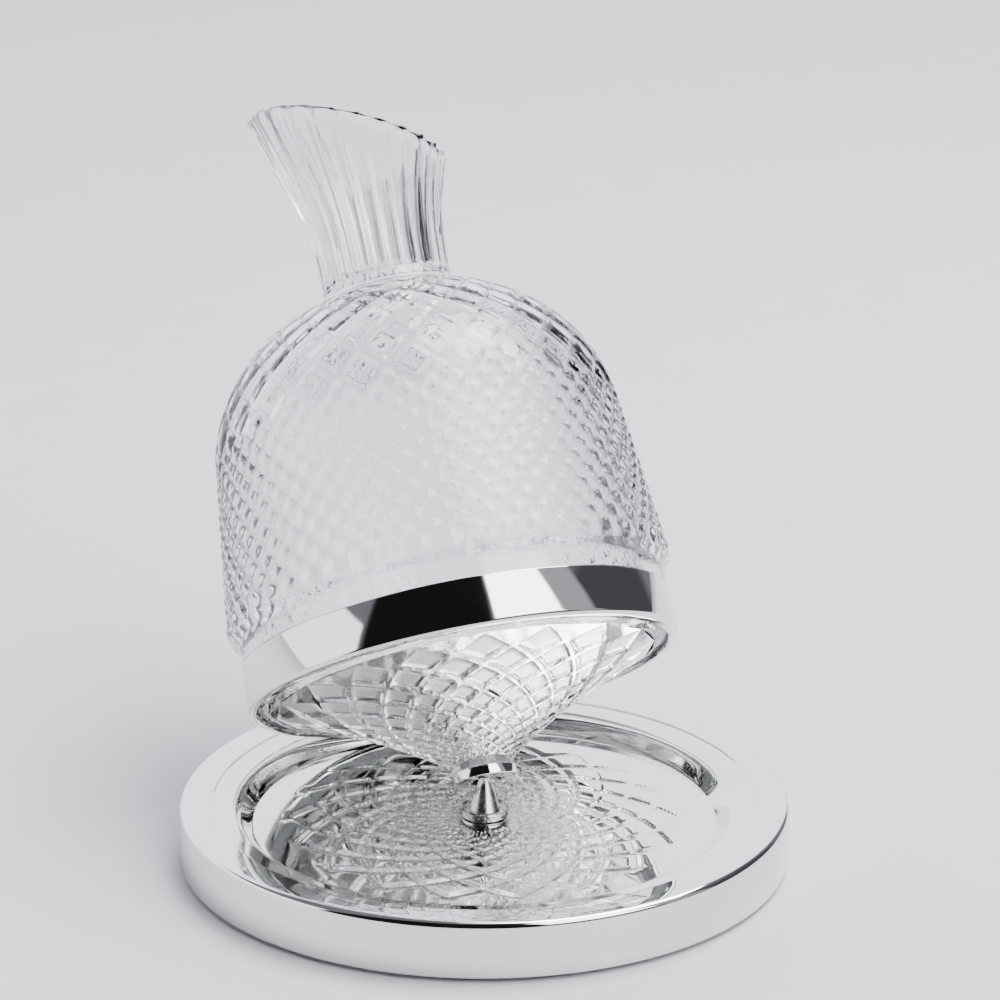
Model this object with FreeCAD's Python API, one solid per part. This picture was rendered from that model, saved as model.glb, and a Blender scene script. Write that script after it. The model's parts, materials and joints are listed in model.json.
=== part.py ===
"""A leaning, revolving decanter on a round weighted base, modelled in millimetres.

The glass vessel stands on one small ball, which rides in the tip of a cone-shaped pin.
It cannot balance upright, so it leans until the metal band round its belly meets the
wall of the dish in the base. The pin turns on a small ball bearing in the base.

Base frame: origin at the middle of the underside, +Z up, and the vessel leans to +Y.
Vessel frame: origin at the middle of the tip ball, +Z along the vessel's own axis.
"""
import os
from math import acos, atan2, cos, degrees, hypot, pi, radians, sin, tan

import FreeCAD, Part

# Base: outer sizes and sheet
BASE_R = 100.0              # outer radius of the base
BASE_H = 20.0               # underside to the flat rim
SHELL_T = 1.2               # sheet of the outer shell
RIM_ROUND = 2.0             # rounding at the rim's outer edge
HEM_W = 4.0                 # width of the hem crimped under the bottom plate
HEM_Z = 1.5                 # height of the hem above the table
HEM_T = 0.8                 # thickness of the crimped hem
PLATE_T = 1.5               # bottom plate
PLATE_GAP = 0.1             # bottom plate and ballast to the shell
PAD_GAP = 2.0               # from the pad's edge to the hem

# Base: dish
DISH_T = 1.2                # sheet of the dish
DISH_ROOM = 10.0            # from the band's outer face to the top of the dish wall
DISH_WALL_RUN = 5.5         # how far the sloping dish wall runs inward
SHOULDER_RUN = 7.0          # width of the shoulder between dish wall and rim
DISH_DEPTH_PART = 0.435     # rim to dish floor, as a part of the base's height
STEP_DROP_PART = 0.145      # rim to the shoulder's lower edge, likewise
DISH_FLANGE_W = 5.0         # flange of the dish caught under the rim
GASKET_T = 0.4              # sealing ring between rim and flange

# Base: weight, hub and screws
BALLAST_IN_R = 60.0         # bore of the ballast ring
BALLAST_TOP_GAP = 1.0       # ballast ring to the underside of the dish floor
HUB_R = 11.0                # hub block
BUSH_R = 3.5                # outside radius of the bronze bush
HUB_POCKET_R = 5.5          # pocket under the hub for washer and ring
HUB_POCKET_H = 2.5
HUB_SCREW_PCR = 8.3         # pitch circle radius of the hub screws
HUB_SCREW_R = 1.0
HUB_SCREW_COUNT = 3
PLATE_SCREW_PCR = 70.0      # pitch circle radius of the ballast screws
PLATE_SCREW_R = 1.5
PLATE_SCREW_COUNT = 6
SCREW_BITE = 4.0            # screw length above the bottom plate
SCREW_GAP = 0.05            # radial clearance round a screw

# Bearing and pin
RACE_R = 7.85               # lower race
UPPER_RACE_R = 8.15         # upper race, with a raised lip
RACE_T = 1.75
RACE_SPACE = 0.9            # between the two races
RACE_LIP_H = 0.6            # raised lip on the upper race
RACE_LIP_W = 0.8
RACE_SPIGOT_R = 4.5         # spigot of the lower race, through the dish
RACE_SPIGOT_L = 2.7
BALL_COUNT = 10
BALL_R = 1.0
BALL_PCR = 5.6
BALL_GAP = 0.05             # running clearance round every ball
CAGE_T = 0.4
CAGE_W = 2.6                # radial width of the ball cage
STEM_R = 2.0                # stem of the pin
STEM_GAP = 0.04             # running clearance of the stem
PIN_FOOT_R = 5.15           # foot of the cone
TIP_RIM = 0.2               # flat top of the cone, wider than the tip ball
CONE_H = 11.2               # height of the cone
WASHER_T = 0.6
WASHER_R = 4.6
RING_T = 0.5                # retaining ring
RING_R = 3.6
RING_GROOVE = 0.5           # depth of the ring's groove in the stem
STEM_END = 0.6              # stem below the retaining ring
TIP_BALL_R = 1.5
TIP_BALL_UP = 0.6           # middle of the tip ball above the cone's flat top

# Vessel: heights are from the middle of the tip ball, along the vessel's axis
FACE_GAP = 0.3              # between pieces that move past each other
SEAT_R = 10.7               # metal disc under the glass foot
SEAT_LOW = -2.0
SEAT_T = 3.5
SPIGOT_R = 4.6              # spigot of the disc inside the glass foot
SPIGOT_H = 3.0
CUP_R = 3.0                 # hard cup that rides on the tip ball
CUP_H = 2.4
CUP_WRAP = 60.0             # degrees from the ball's pole that the cup covers
GLUE_T = 0.3                # cement in the foot joint, the belly joint and the band
BAND_R = 72.0               # band round the belly
BAND_T = 1.0
BAND_LOW = 32.8
BAND_H = 16.4
BAND_ROUND = 2.0            # rounding of the band's lower edge
BAND_LIP_W = 3.6            # width of the band's rolled lower lip
JOINT_H = 41.0              # glass-to-glass joint, hidden by the band
FOOT_R = 10.3               # glass foot on the disc
FOOT_H = 2.0                # upright part of the glass foot
CONE_DIP = 2.5              # hollow of the lower cone's outline below a straight line
FLOOR_T = 7.0               # glass above the spigot, inside the foot
RIM_GLASS_W = 8.5           # from the band's face to the glass's inner face at the joint
STRIPE_OUT = 0.5            # plain stripe inside the band's outer face
STRIPE_TOP = 57.5
BELLY_OUT = 3.3             # foot of the cut pattern, outside the band's face
SHOULDER_IN = 3.3           # start of the dome, inside the band's face
SHOULDER_H = 117.0
DOME_R = 57.2               # radius of the dome's outline
DOME_MID_R = 12.0           # distance of the outline's centre from the axis
WALL = 5.6                  # glass wall of belly and dome
NECK_R = 21.9               # waist of the neck
NECK_H = 176.0
NECK_WALL = 4.0
FLARE_R = 100.0             # radius of the flare's outline
FLARE_TURN = 17.0           # degrees that the flare opens
NECK_FILLET = 7.0           # between dome and neck
MOUTH_H = 224.5             # the slanting mouth where it crosses the axis
MOUTH_SLANT = 21.3          # degrees from square
MOUTH_TURN = 161.0          # direction of the mouth's high side about the axis, from +X
FLUTE_COUNT = 24            # flutes round the neck
FLUTE_DEPTH = 1.1

# Levels and radii that follow from the sizes above
DISH_STEP_R = BAND_R + DISH_ROOM
DISH_FLOOR_R = DISH_STEP_R - DISH_WALL_RUN
RIM_INNER_R = DISH_STEP_R + SHOULDER_RUN
DISH_DEPTH = DISH_DEPTH_PART * BASE_H
DISH_STEP_DROP = STEP_DROP_PART * BASE_H
PIN_TIP_R = TIP_BALL_R + TIP_RIM
BAND_LIP_R = BAND_R - BAND_LIP_W
LIP_IN_R = BAND_R - RIM_GLASS_W
BELLY_R = BAND_R + BELLY_OUT
SHOULDER_R = BAND_R - SHOULDER_IN
SHELL_IN_R = BASE_R - SHELL_T
PLATE_R = SHELL_IN_R - PLATE_GAP
PLATE_LOW = HEM_Z + HEM_T
PLATE_TOP = PLATE_LOW + PLATE_T
FLANGE_TOP = BASE_H - SHELL_T - GASKET_T
FLANGE_R = RIM_INNER_R + DISH_FLANGE_W
FLOOR_Z = BASE_H - DISH_DEPTH
FLOOR_LOW = FLOOR_Z - DISH_T
STEP_Z = BASE_H - DISH_STEP_DROP
LOWER_RACE_TOP = FLOOR_Z + RACE_T
UPPER_RACE_LOW = LOWER_RACE_TOP + RACE_SPACE
UPPER_RACE_TOP = UPPER_RACE_LOW + RACE_T
BALL_MID_Z = LOWER_RACE_TOP + RACE_SPACE / 2
TIP_Z = UPPER_RACE_TOP + CONE_H + TIP_BALL_UP
POCKET_TOP = PLATE_TOP + HUB_POCKET_H
WASHER_LOW = POCKET_TOP - FACE_GAP - WASHER_T
RING_LOW = WASHER_LOW - RING_T
SEAT_TOP = SEAT_LOW + SEAT_T
SPIGOT_TOP = SEAT_TOP + SPIGOT_H
BAND_TOP = BAND_LOW + BAND_H
GLASS_R = BAND_R - BAND_T - GLUE_T
STRIPE_R = BAND_R - STRIPE_OUT

ORIGIN = FreeCAD.Vector(0, 0, 0)
X_AXIS = FreeCAD.Vector(1, 0, 0)
Y_AXIS = FreeCAD.Vector(0, 1, 0)
Z_AXIS = FreeCAD.Vector(0, 0, 1)


def lean_angle():
    """Lean, in radians, at which the band's rolled edge stands FACE_GAP off the dish wall."""
    run, rise = DISH_STEP_R - DISH_FLOOR_R, STEP_Z - FLOOR_Z
    length = hypot(run, rise)
    out_y, out_z = -rise / length, run / length
    edge_r, edge_h = BAND_R - BAND_ROUND, BAND_LOW + BAND_ROUND
    of_sin = out_y * edge_h - out_z * edge_r
    of_cos = out_y * edge_r + out_z * edge_h
    reach = BAND_ROUND + FACE_GAP + out_y * DISH_STEP_R + out_z * (STEP_Z - TIP_Z)
    return atan2(of_sin, of_cos) + acos(reach / hypot(of_sin, of_cos))


def at(radius, height):
    return FreeCAD.Vector(radius, 0, height)


def turned(start, *steps):
    """Turn a closed outline about Z. A step is a point, or an arc's (middle, end) points."""
    edges = []
    here = start
    for step in steps + (start,):
        if isinstance(step[0], tuple):
            middle, end = step
            edges.append(Part.Arc(at(*here), at(*middle), at(*end)).toShape())
        else:
            end = step
            edges.append(Part.LineSegment(at(*here), at(*end)).toShape())
        here = end
    return Part.Face(Part.Wire(edges)).revolve(ORIGIN, Z_AXIS, 360)


def ring(inner, outer, low, high):
    """A plain ring, or a disc when the inner radius is 0."""
    solid = Part.makeCylinder(outer, high - low, at(0, low))
    return solid.cut(Part.makeCylinder(inner, high - low, at(0, low))) if inner else solid


def round_point(centre, radius, angle):
    """Point on a circle of the outline, angle in degrees above the outward direction."""
    return (centre[0] + radius * cos(radians(angle)), centre[1] + radius * sin(radians(angle)))


def around(count, radius, height=0.0):
    """Evenly spaced places on a circle."""
    turns = [2 * pi * number / count for number in range(count)]
    return [FreeCAD.Vector(radius * cos(t), radius * sin(t), height) for t in turns]


def compound(shapes):
    return Part.makeCompound(shapes)


# ---------------------------------------------------------------- base

def base_shell():
    """Outer wall, rounded rim and crimped hem, pressed from one sheet."""
    mid = (BASE_R - RIM_ROUND, BASE_H - RIM_ROUND)
    inner_round = RIM_ROUND - SHELL_T
    return turned(
        (BASE_R - HEM_W, HEM_Z), (BASE_R, HEM_Z), (BASE_R, mid[1]),
        (round_point(mid, RIM_ROUND, 45), (mid[0], BASE_H)),
        (RIM_INNER_R, BASE_H), (RIM_INNER_R, BASE_H - SHELL_T), (mid[0], BASE_H - SHELL_T),
        (round_point(mid, inner_round, 45), (SHELL_IN_R, mid[1])),
        (SHELL_IN_R, PLATE_LOW), (BASE_R - HEM_W, PLATE_LOW))


def embossed_dish():
    """Sunk dish with its flange under the rim and a hole for the bearing's spigot."""
    wall = atan2(STEP_Z - FLOOR_Z, DISH_STEP_R - DISH_FLOOR_R)
    shift = DISH_T * tan(wall / 2)
    body = turned(
        (RACE_SPIGOT_R, FLOOR_LOW), (DISH_FLOOR_R + shift, FLOOR_LOW),
        (DISH_STEP_R + shift, STEP_Z - DISH_T), (RIM_INNER_R, FLANGE_TOP - DISH_T),
        (FLANGE_R, FLANGE_TOP - DISH_T), (FLANGE_R, FLANGE_TOP), (RIM_INNER_R, FLANGE_TOP),
        (DISH_STEP_R, STEP_Z), (DISH_FLOOR_R, FLOOR_Z), (RACE_SPIGOT_R, FLOOR_Z))
    return body


def dish_gasket():
    return ring(RIM_INNER_R, FLANGE_R, FLANGE_TOP, FLANGE_TOP + GASKET_T)


def ballast_ring():
    """Cast weight that also presses the dish flange up against the rim."""
    shelf = FLANGE_TOP - DISH_T
    body = turned(
        (BALLAST_IN_R, PLATE_TOP), (PLATE_R, PLATE_TOP), (PLATE_R, shelf),
        (RIM_INNER_R + SHELL_T, shelf), (RIM_INNER_R + SHELL_T, FLOOR_LOW - BALLAST_TOP_GAP),
        (BALLAST_IN_R, FLOOR_LOW - BALLAST_TOP_GAP))
    return body.cut(compound(plate_screw_holes()))


def bottom_plate():
    body = ring(0, PLATE_R, PLATE_LOW, PLATE_TOP)
    return body.cut(compound(plate_screw_holes() + hub_screw_holes()))


def base_pad():
    return ring(0, BASE_R - HEM_W - PAD_GAP, 0, PLATE_LOW)


def countersunk(place, radius, length):
    """Screw with a countersunk head flush with the bottom plate's underside."""
    head = Part.makeCone(2 * radius, radius, radius, place)
    return head.fuse(Part.makeCylinder(radius, length, place)).removeSplitter()


def screws(count, pitch_r, radius, gap=0.0):
    """Screws up through the bottom plate, or their holes when a gap is given."""
    length = PLATE_T + SCREW_BITE + gap
    return [countersunk(place, radius + gap, length)
            for place in around(count, pitch_r, PLATE_LOW)]


def plate_screw_holes():
    return screws(PLATE_SCREW_COUNT, PLATE_SCREW_PCR, PLATE_SCREW_R, SCREW_GAP)


def hub_screw_holes():
    return screws(HUB_SCREW_COUNT, HUB_SCREW_PCR, HUB_SCREW_R, SCREW_GAP)


def hub_block():
    """Boss under the dish, bored for the bush, the race's spigot and the ring pocket."""
    body = ring(BUSH_R, HUB_R, PLATE_TOP, FLOOR_LOW)
    pocket = Part.makeCylinder(HUB_POCKET_R, HUB_POCKET_H, at(0, PLATE_TOP))
    seat = Part.makeCylinder(RACE_SPIGOT_R, RACE_SPIGOT_L, at(0, FLOOR_Z - RACE_SPIGOT_L))
    return body.cut(compound([pocket, seat] + hub_screw_holes()))


def hub_bush():
    return ring(STEM_R + STEM_GAP, BUSH_R, POCKET_TOP, FLOOR_Z - RACE_SPIGOT_L)


def race_groove():
    return Part.makeTorus(BALL_PCR, BALL_R + BALL_GAP, at(0, BALL_MID_Z))


def lower_race():
    """Fixed race, held in the hub by its spigot."""
    body = ring(STEM_R + STEM_GAP, RACE_R, FLOOR_Z, LOWER_RACE_TOP)
    spigot = ring(STEM_R + STEM_GAP, RACE_SPIGOT_R, FLOOR_Z - RACE_SPIGOT_L, FLOOR_Z)
    return body.fuse(spigot).removeSplitter().cut(race_groove())


def bearing_balls():
    return compound([Part.makeSphere(BALL_R, place)
                     for place in around(BALL_COUNT, BALL_PCR, BALL_MID_Z)])


def ball_cage():
    body = ring(BALL_PCR - CAGE_W / 2, BALL_PCR + CAGE_W / 2,
                BALL_MID_Z - CAGE_T / 2, BALL_MID_Z + CAGE_T / 2)
    holes = [Part.makeSphere(BALL_R + BALL_GAP, place)
             for place in around(BALL_COUNT, BALL_PCR, BALL_MID_Z)]
    return body.cut(compound(holes))


# ---------------------------------------------------------------- pin, on its own bearing

def upper_race():
    """Turning race, with a raised lip round its top."""
    body = turned(
        (STEM_R, UPPER_RACE_LOW), (UPPER_RACE_R, UPPER_RACE_LOW),
        (UPPER_RACE_R, UPPER_RACE_TOP + RACE_LIP_H),
        (UPPER_RACE_R - RACE_LIP_W / 2, UPPER_RACE_TOP + RACE_LIP_H),
        (UPPER_RACE_R - RACE_LIP_W, UPPER_RACE_TOP), (STEM_R, UPPER_RACE_TOP))
    return body.cut(race_groove())


def pivot_pin():
    """Cone with a ball socket in its flat tip, and a stem down through the hub."""
    groove_r = STEM_R - RING_GROOVE
    body = turned(
        (0, RING_LOW - STEM_END), (STEM_R, RING_LOW - STEM_END), (STEM_R, RING_LOW),
        (groove_r, RING_LOW), (groove_r, WASHER_LOW), (STEM_R, WASHER_LOW),
        (STEM_R, UPPER_RACE_TOP), (PIN_FOOT_R, UPPER_RACE_TOP),
        (PIN_TIP_R, UPPER_RACE_TOP + CONE_H), (0, UPPER_RACE_TOP + CONE_H))
    return body.cut(Part.makeSphere(TIP_BALL_R + BALL_GAP, at(0, TIP_Z)))


def pin_washer():
    return ring(STEM_R, WASHER_R, WASHER_LOW, WASHER_LOW + WASHER_T)


def retaining_ring():
    """Open ring snapped into the stem's groove."""
    body = ring(STEM_R - RING_GROOVE, RING_R, RING_LOW, WASHER_LOW)
    slot = 2 * (STEM_R - RING_GROOVE)
    mouth = Part.makeBox(RING_R, slot, RING_T, FreeCAD.Vector(0, -slot / 2, RING_LOW))
    return body.cut(mouth)


def tip_ball():
    return Part.makeSphere(TIP_BALL_R, at(0, TIP_Z))


# ---------------------------------------------------------------- vessel, upright in its own frame

def seat_disc(lean):
    """Metal disc with a spigot, hollowed so that the pin never touches it."""
    pin_half = atan2(PIN_FOOT_R - PIN_TIP_R, CONE_H)
    side = lean + pin_half
    clear = PIN_TIP_R * cos(pin_half) - TIP_BALL_UP * sin(pin_half) + FACE_GAP
    apex = clear / sin(side)
    cup_low = cup_base()
    mouth = turned((0, SEAT_LOW), ((apex - SEAT_LOW) * tan(side), SEAT_LOW),
                   ((apex - cup_low) * tan(side), cup_low), (0, cup_low))
    body = ring(0, SEAT_R, SEAT_LOW, SEAT_TOP).fuse(ring(0, SPIGOT_R, SEAT_TOP, SPIGOT_TOP))
    bore = Part.makeCylinder(CUP_R, SPIGOT_TOP - cup_low, at(0, cup_low))
    return body.removeSplitter().cut(bore).cut(mouth)


def cup_base():
    return (TIP_BALL_R + BALL_GAP) * cos(radians(CUP_WRAP))


def seat_cup():
    """Hardened cup, pressed into the disc, that runs on the tip ball."""
    body = ring(0, CUP_R, cup_base(), cup_base() + CUP_H)
    return body.cut(Part.makeSphere(TIP_BALL_R + BALL_GAP))


def seat_cement():
    """Cement under the glass foot and round the disc's spigot."""
    outer = ring(0, FOOT_R, SEAT_TOP, SEAT_TOP + GLUE_T)
    outer = outer.fuse(ring(0, SPIGOT_R + GLUE_T, SEAT_TOP + GLUE_T, SPIGOT_TOP + GLUE_T))
    return outer.removeSplitter().cut(ring(0, SPIGOT_R, SEAT_TOP, SPIGOT_TOP))


def cone_arc(start, end):
    """Middle point of the lower cone's slightly hollow outline between two points."""
    run, rise = end[0] - start[0], end[1] - start[1]
    length = hypot(run, rise)
    return ((start[0] + end[0]) / 2 - CONE_DIP * rise / length,
            (start[1] + end[1]) / 2 + CONE_DIP * run / length)


def glass_cone():
    """Lower glass: foot, flared underside and the rim inside the band."""
    foot_low, foot_top = SEAT_TOP + GLUE_T, SEAT_TOP + GLUE_T + FOOT_H
    under = (BAND_LIP_R - GLUE_T, BAND_LOW + BAND_T + GLUE_T)
    floor = SPIGOT_TOP + GLUE_T + FLOOR_T
    inner = (LIP_IN_R, JOINT_H - BAND_T)
    body = turned(
        (0, foot_low), (FOOT_R, foot_low), (FOOT_R, foot_top),
        (cone_arc((FOOT_R, foot_top), under), under), (GLASS_R, under[1] + BAND_T),
        (GLASS_R, JOINT_H), (LIP_IN_R, JOINT_H), inner,
        (cone_arc((FOOT_R, floor + FOOT_H), inner), (FOOT_R, floor + FOOT_H)), (0, floor))
    return body.cut(ring(0, SPIGOT_R + GLUE_T, foot_low, SPIGOT_TOP + GLUE_T))


def joint_cement():
    return ring(LIP_IN_R + GLUE_T, GLASS_R, JOINT_H, JOINT_H + GLUE_T)


def rolling_band():
    """Band with a rolled-in lower lip: the edge that rolls round the dish."""
    mid = (BAND_R - BAND_ROUND, BAND_LOW + BAND_ROUND)
    inner_round = BAND_ROUND - BAND_T
    return turned(
        (BAND_LIP_R, BAND_LOW), (mid[0], BAND_LOW),
        (round_point(mid, BAND_ROUND, -45), (BAND_R, mid[1])),
        (BAND_R, BAND_TOP), (BAND_R - BAND_T, BAND_TOP), (BAND_R - BAND_T, mid[1]),
        (round_point(mid, inner_round, -45), (mid[0], BAND_LOW + BAND_T)),
        (BAND_LIP_R, BAND_LOW + BAND_T))


def band_cement():
    return ring(GLASS_R, BAND_R - BAND_T, JOINT_H - BAND_T, BAND_TOP)


def mouth_cutter():
    """Everything above the slanting mouth, high side towards MOUTH_TURN."""
    size = 4 * NECK_R + FLARE_R
    block = Part.makeBox(2 * size, 2 * size, size, FreeCAD.Vector(-size, -size, 0))
    block.rotate(ORIGIN, Y_AXIS, -MOUTH_SLANT)
    block.rotate(ORIGIN, Z_AXIS, MOUTH_TURN)
    block.translate(at(0, MOUTH_H))
    return block


def neck_outline(waist, flare, top):
    """Arc and straight of the flaring neck, for a given waist radius and flare radius."""
    half = radians(FLARE_TURN / 2)
    turn = radians(FLARE_TURN)
    middle = (waist + flare * (1 - cos(half)), NECK_H + flare * sin(half))
    end = (waist + flare * (1 - cos(turn)), NECK_H + flare * sin(turn))
    return (middle, end), (end[0] + (top - end[1]) * tan(turn), top)


def dome_outline(radius, waist, fillet):
    """Dome arc and the small fillet that joins it to the neck's waist."""
    centre = (DOME_MID_R, dome_centre_height())
    corner_r = waist + fillet
    rise = acos((corner_r - centre[0]) / (radius + fillet))
    corner = (corner_r, centre[1] + (radius + fillet) * sin(rise))
    start = (centre[0] + radius * cos(dome_start()), centre[1] + radius * sin(dome_start()))
    meet = (centre[0] + radius * cos(rise), centre[1] + radius * sin(rise))
    middle = (dome_start() + rise) / 2
    dome = ((centre[0] + radius * cos(middle), centre[1] + radius * sin(middle)), meet)
    back = (rise + pi + pi) / 2
    bend = ((corner[0] + fillet * cos(back), corner[1] + fillet * sin(back)),
            (corner[0] - fillet, corner[1]))
    return start, dome, bend


def dome_start():
    """Angle of the dome's arc where it meets the belly wall."""
    return acos((SHOULDER_R - DOME_MID_R) / DOME_R)


def dome_centre_height():
    return SHOULDER_H - DOME_R * sin(dome_start())


def neck_base():
    """Height where the fillet above the dome ends and the flutes begin."""
    reach = DOME_R + NECK_FILLET
    return dome_centre_height() + reach * sin(acos((NECK_R + NECK_FILLET - DOME_MID_R) / reach))


def glass_bell():
    """Upper glass: collar inside the band, belly, dome and fluted, slant-cut neck."""
    low = JOINT_H + GLUE_T
    top = MOUTH_H + FLARE_R
    outer_start, outer_dome, outer_bend = dome_outline(DOME_R, NECK_R, NECK_FILLET)
    inner_waist = NECK_R - NECK_WALL
    inner_start, inner_dome, inner_bend = dome_outline(
        DOME_R - WALL, inner_waist, NECK_FILLET + WALL)
    outer_flare, outer_top = neck_outline(NECK_R, FLARE_R, top)
    inner_flare, inner_top = neck_outline(inner_waist, FLARE_R + NECK_WALL, top)
    outside = turned(
        (0, low), (GLASS_R, low), (GLASS_R, BAND_TOP + GLUE_T), (STRIPE_R, BAND_TOP + GLUE_T),
        (STRIPE_R, STRIPE_TOP), (BELLY_R, STRIPE_TOP + 1.0), outer_start, outer_dome,
        outer_bend, (NECK_R, NECK_H), outer_flare, outer_top, (0, top))
    inside = turned(
        (0, low), (LIP_IN_R, low), (GLASS_R - WALL, STRIPE_TOP), inner_start, inner_dome,
        inner_bend, (inner_waist, NECK_H), inner_flare, inner_top, (0, top))
    return outside.cut(compound(neck_flutes())).cut(inside).cut(mouth_cutter())


def neck_flutes():
    """Round-bottomed grooves up the flaring neck."""
    pitch = 2 * pi * NECK_R / FLUTE_COUNT
    radius = (pitch / 2) ** 2 / (2 * FLUTE_DEPTH) + FLUTE_DEPTH / 2
    offset = radius - FLUTE_DEPTH
    (middle, end), last = neck_outline(NECK_R + offset, FLARE_R - offset, MOUTH_H + FLARE_R)
    low, waist = at(NECK_R + offset, neck_base()), at(NECK_R + offset, NECK_H)
    path = Part.Wire([
        Part.LineSegment(low, waist).toShape(),
        Part.Arc(waist, at(*middle), at(*end)).toShape(),
        Part.LineSegment(at(*end), at(*last)).toShape()])
    tool = path.makePipeShell([Part.Wire(Part.makeCircle(radius, low))], True, True)
    flutes = []
    for number in range(FLUTE_COUNT):
        flute = tool.copy()
        flute.rotate(ORIGIN, Z_AXIS, 360.0 * number / FLUTE_COUNT)
        flutes.append(flute)
    return flutes


# ---------------------------------------------------------------- all pieces

def placed(shape, lean):
    """Carry a vessel piece from its upright frame to its leaning rest."""
    shape = shape.copy()
    shape.rotate(ORIGIN, X_AXIS, -degrees(lean))
    shape.translate(at(0, TIP_Z))
    return shape


def build():
    lean = lean_angle()
    fixed = {
        "base_shell": base_shell(), "embossed_dish": embossed_dish(),
        "dish_gasket": dish_gasket(), "ballast_ring": ballast_ring(),
        "bottom_plate": bottom_plate(), "base_pad": base_pad(),
        "plate_screws": compound(screws(PLATE_SCREW_COUNT, PLATE_SCREW_PCR, PLATE_SCREW_R)),
        "hub_screws": compound(screws(HUB_SCREW_COUNT, HUB_SCREW_PCR, HUB_SCREW_R)),
        "hub_block": hub_block(), "hub_bush": hub_bush(), "lower_race": lower_race(),
        "bearing_balls": bearing_balls(), "ball_cage": ball_cage(),
        "upper_race": upper_race(), "pivot_pin": pivot_pin(), "pin_washer": pin_washer(),
        "retaining_ring": retaining_ring(), "tip_ball": tip_ball()}
    vessel = {
        "glass_bell": glass_bell(), "glass_cone": glass_cone(), "joint_cement": joint_cement(),
        "rolling_band": rolling_band(), "band_cement": band_cement(),
        "seat_disc": seat_disc(lean), "seat_cup": seat_cup(), "seat_cement": seat_cement()}
    fixed.update({name: placed(shape, lean) for name, shape in vessel.items()})
    return fixed


def main():
    os.makedirs("parts", exist_ok=True)
    print("lean %.4f degrees, tip ball at z %.3f" % (degrees(lean_angle()), TIP_Z))
    for name, shape in build().items():
        solids = shape.Solids
        box = shape.BoundBox
        print("%-16s solids %2d valid %s volume %10.1f z %.2f..%.2f" % (
            name, len(solids), shape.isValid(), shape.Volume, box.ZMin, box.ZMax))
        shape.exportStep(os.path.join("parts", name + ".step"))


main()
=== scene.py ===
"""A cut-glass decanter that leans and rolls on a pivot in a polished round base.

Outlines are in millimetres. Vessel outlines are in the vessel's own frame: origin at the
middle of the tip ball, +Z along the neck. Base outlines are in the row frame.
"""

import json
from math import acos, asin, atan2, cos, degrees, hypot, pi, radians, sin, sqrt, tan

import bmesh
import bpy
from mathutils import Matrix, Vector


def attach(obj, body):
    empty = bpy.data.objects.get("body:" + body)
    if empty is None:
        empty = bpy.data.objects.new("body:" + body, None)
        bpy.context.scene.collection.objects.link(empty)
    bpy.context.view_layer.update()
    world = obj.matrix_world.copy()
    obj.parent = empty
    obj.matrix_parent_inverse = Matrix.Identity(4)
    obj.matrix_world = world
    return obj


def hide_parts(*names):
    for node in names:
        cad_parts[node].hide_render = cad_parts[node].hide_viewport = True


MM = 0.001

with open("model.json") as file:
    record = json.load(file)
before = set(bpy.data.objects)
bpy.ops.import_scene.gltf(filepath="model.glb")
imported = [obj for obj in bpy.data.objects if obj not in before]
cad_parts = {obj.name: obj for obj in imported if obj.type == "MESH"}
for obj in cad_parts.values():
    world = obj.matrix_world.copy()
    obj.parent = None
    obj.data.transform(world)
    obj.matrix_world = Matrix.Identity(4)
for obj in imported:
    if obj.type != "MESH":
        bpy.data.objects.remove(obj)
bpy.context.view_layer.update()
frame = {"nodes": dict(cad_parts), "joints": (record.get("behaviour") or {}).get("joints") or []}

# ---------------------------------------------------------------- sizes, mm

# Camera: where it stands, what it looks at, and its lens. Angles are in degrees.
VIEW_AZIMUTH = -19.5
VIEW_ELEVATION = 18.8
VIEW_DISTANCE = 1300.0
VIEW_LENS = 146.1
VIEW_SENSOR = 36.0
VIEW_TARGET = (4.8, -1.7, 122.7)

# Base shell
BASE_R = 100.0
BASE_H = 20.0
SHELL_T = 1.2
RIM_ROUND = 2.0             # outer edge of the rim
RIM_INNER_R = 89.0
RIM_INNER_ROUND = 0.6
HEM_W = 4.0                 # hem turned in under the shell
HEM_Z = 1.5
HEM_T = 0.8
HEM_ROUND = 0.5

# Dish, from its middle outwards
DISH_T = 1.2
DISH_INSET = 0.1            # the pressed sheet is this much thinner than the plain one
SPIGOT_HOLE_R = 4.5
FLOOR_R = 76.5              # foot of the sloping wall
FLOOR_Z = 11.3
STEP_R = 82.0               # top of the sloping wall
STEP_Z = 17.1
FLANGE_R = 94.0             # edge that the rim covers
FLANGE_TOP = 18.4
ROSETTE_R = 66.5            # where the pressed rosette fades out
ROSETTE_FADE = 4.0
ROSETTE_COUNT = 18          # spirals in each of the two families
ROSETTE_SLOPE = 35.0        # degrees that a spiral climbs from the circle
HUB_PLAIN_R = 8.0           # no grooves inside this radius
HUB_FADE_R = 12.0           # full grooves outside this radius
GROOVE_DEPTH = 0.55
GROOVE_SHARE = 0.30         # groove width as a share of the distance between grooves
DISH_COLUMNS = 433          # grid points round the dish, the first and last in one place
DISH_RINGS = 88             # grid points from the middle outwards

# Bearing and pin
RACE_R = 7.85
UPPER_RACE_R = 8.15
RACE_LOW = 11.3
RACE_T = 1.75
RACE_SPACE = 0.9
RACE_EDGE = 0.3
RACE_BORE_GAP = 0.1
RACE_LIP_H = 0.6
RACE_LIP_W = 0.8
RACE_LIP_EDGE = 0.15
STEM_R = 2.0
STEM_L = 12.0               # stem below the collar
PIN_FOOT_R = 5.15
PIN_FOOT_H = 0.5
PIN_TIP_R = 1.7
CONE_H = 11.2
TIP_BALL_R = 1.5
BALL_GAP = 0.05
TIP_UP = 0.6                # middle of the ball above the end of the cone

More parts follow.
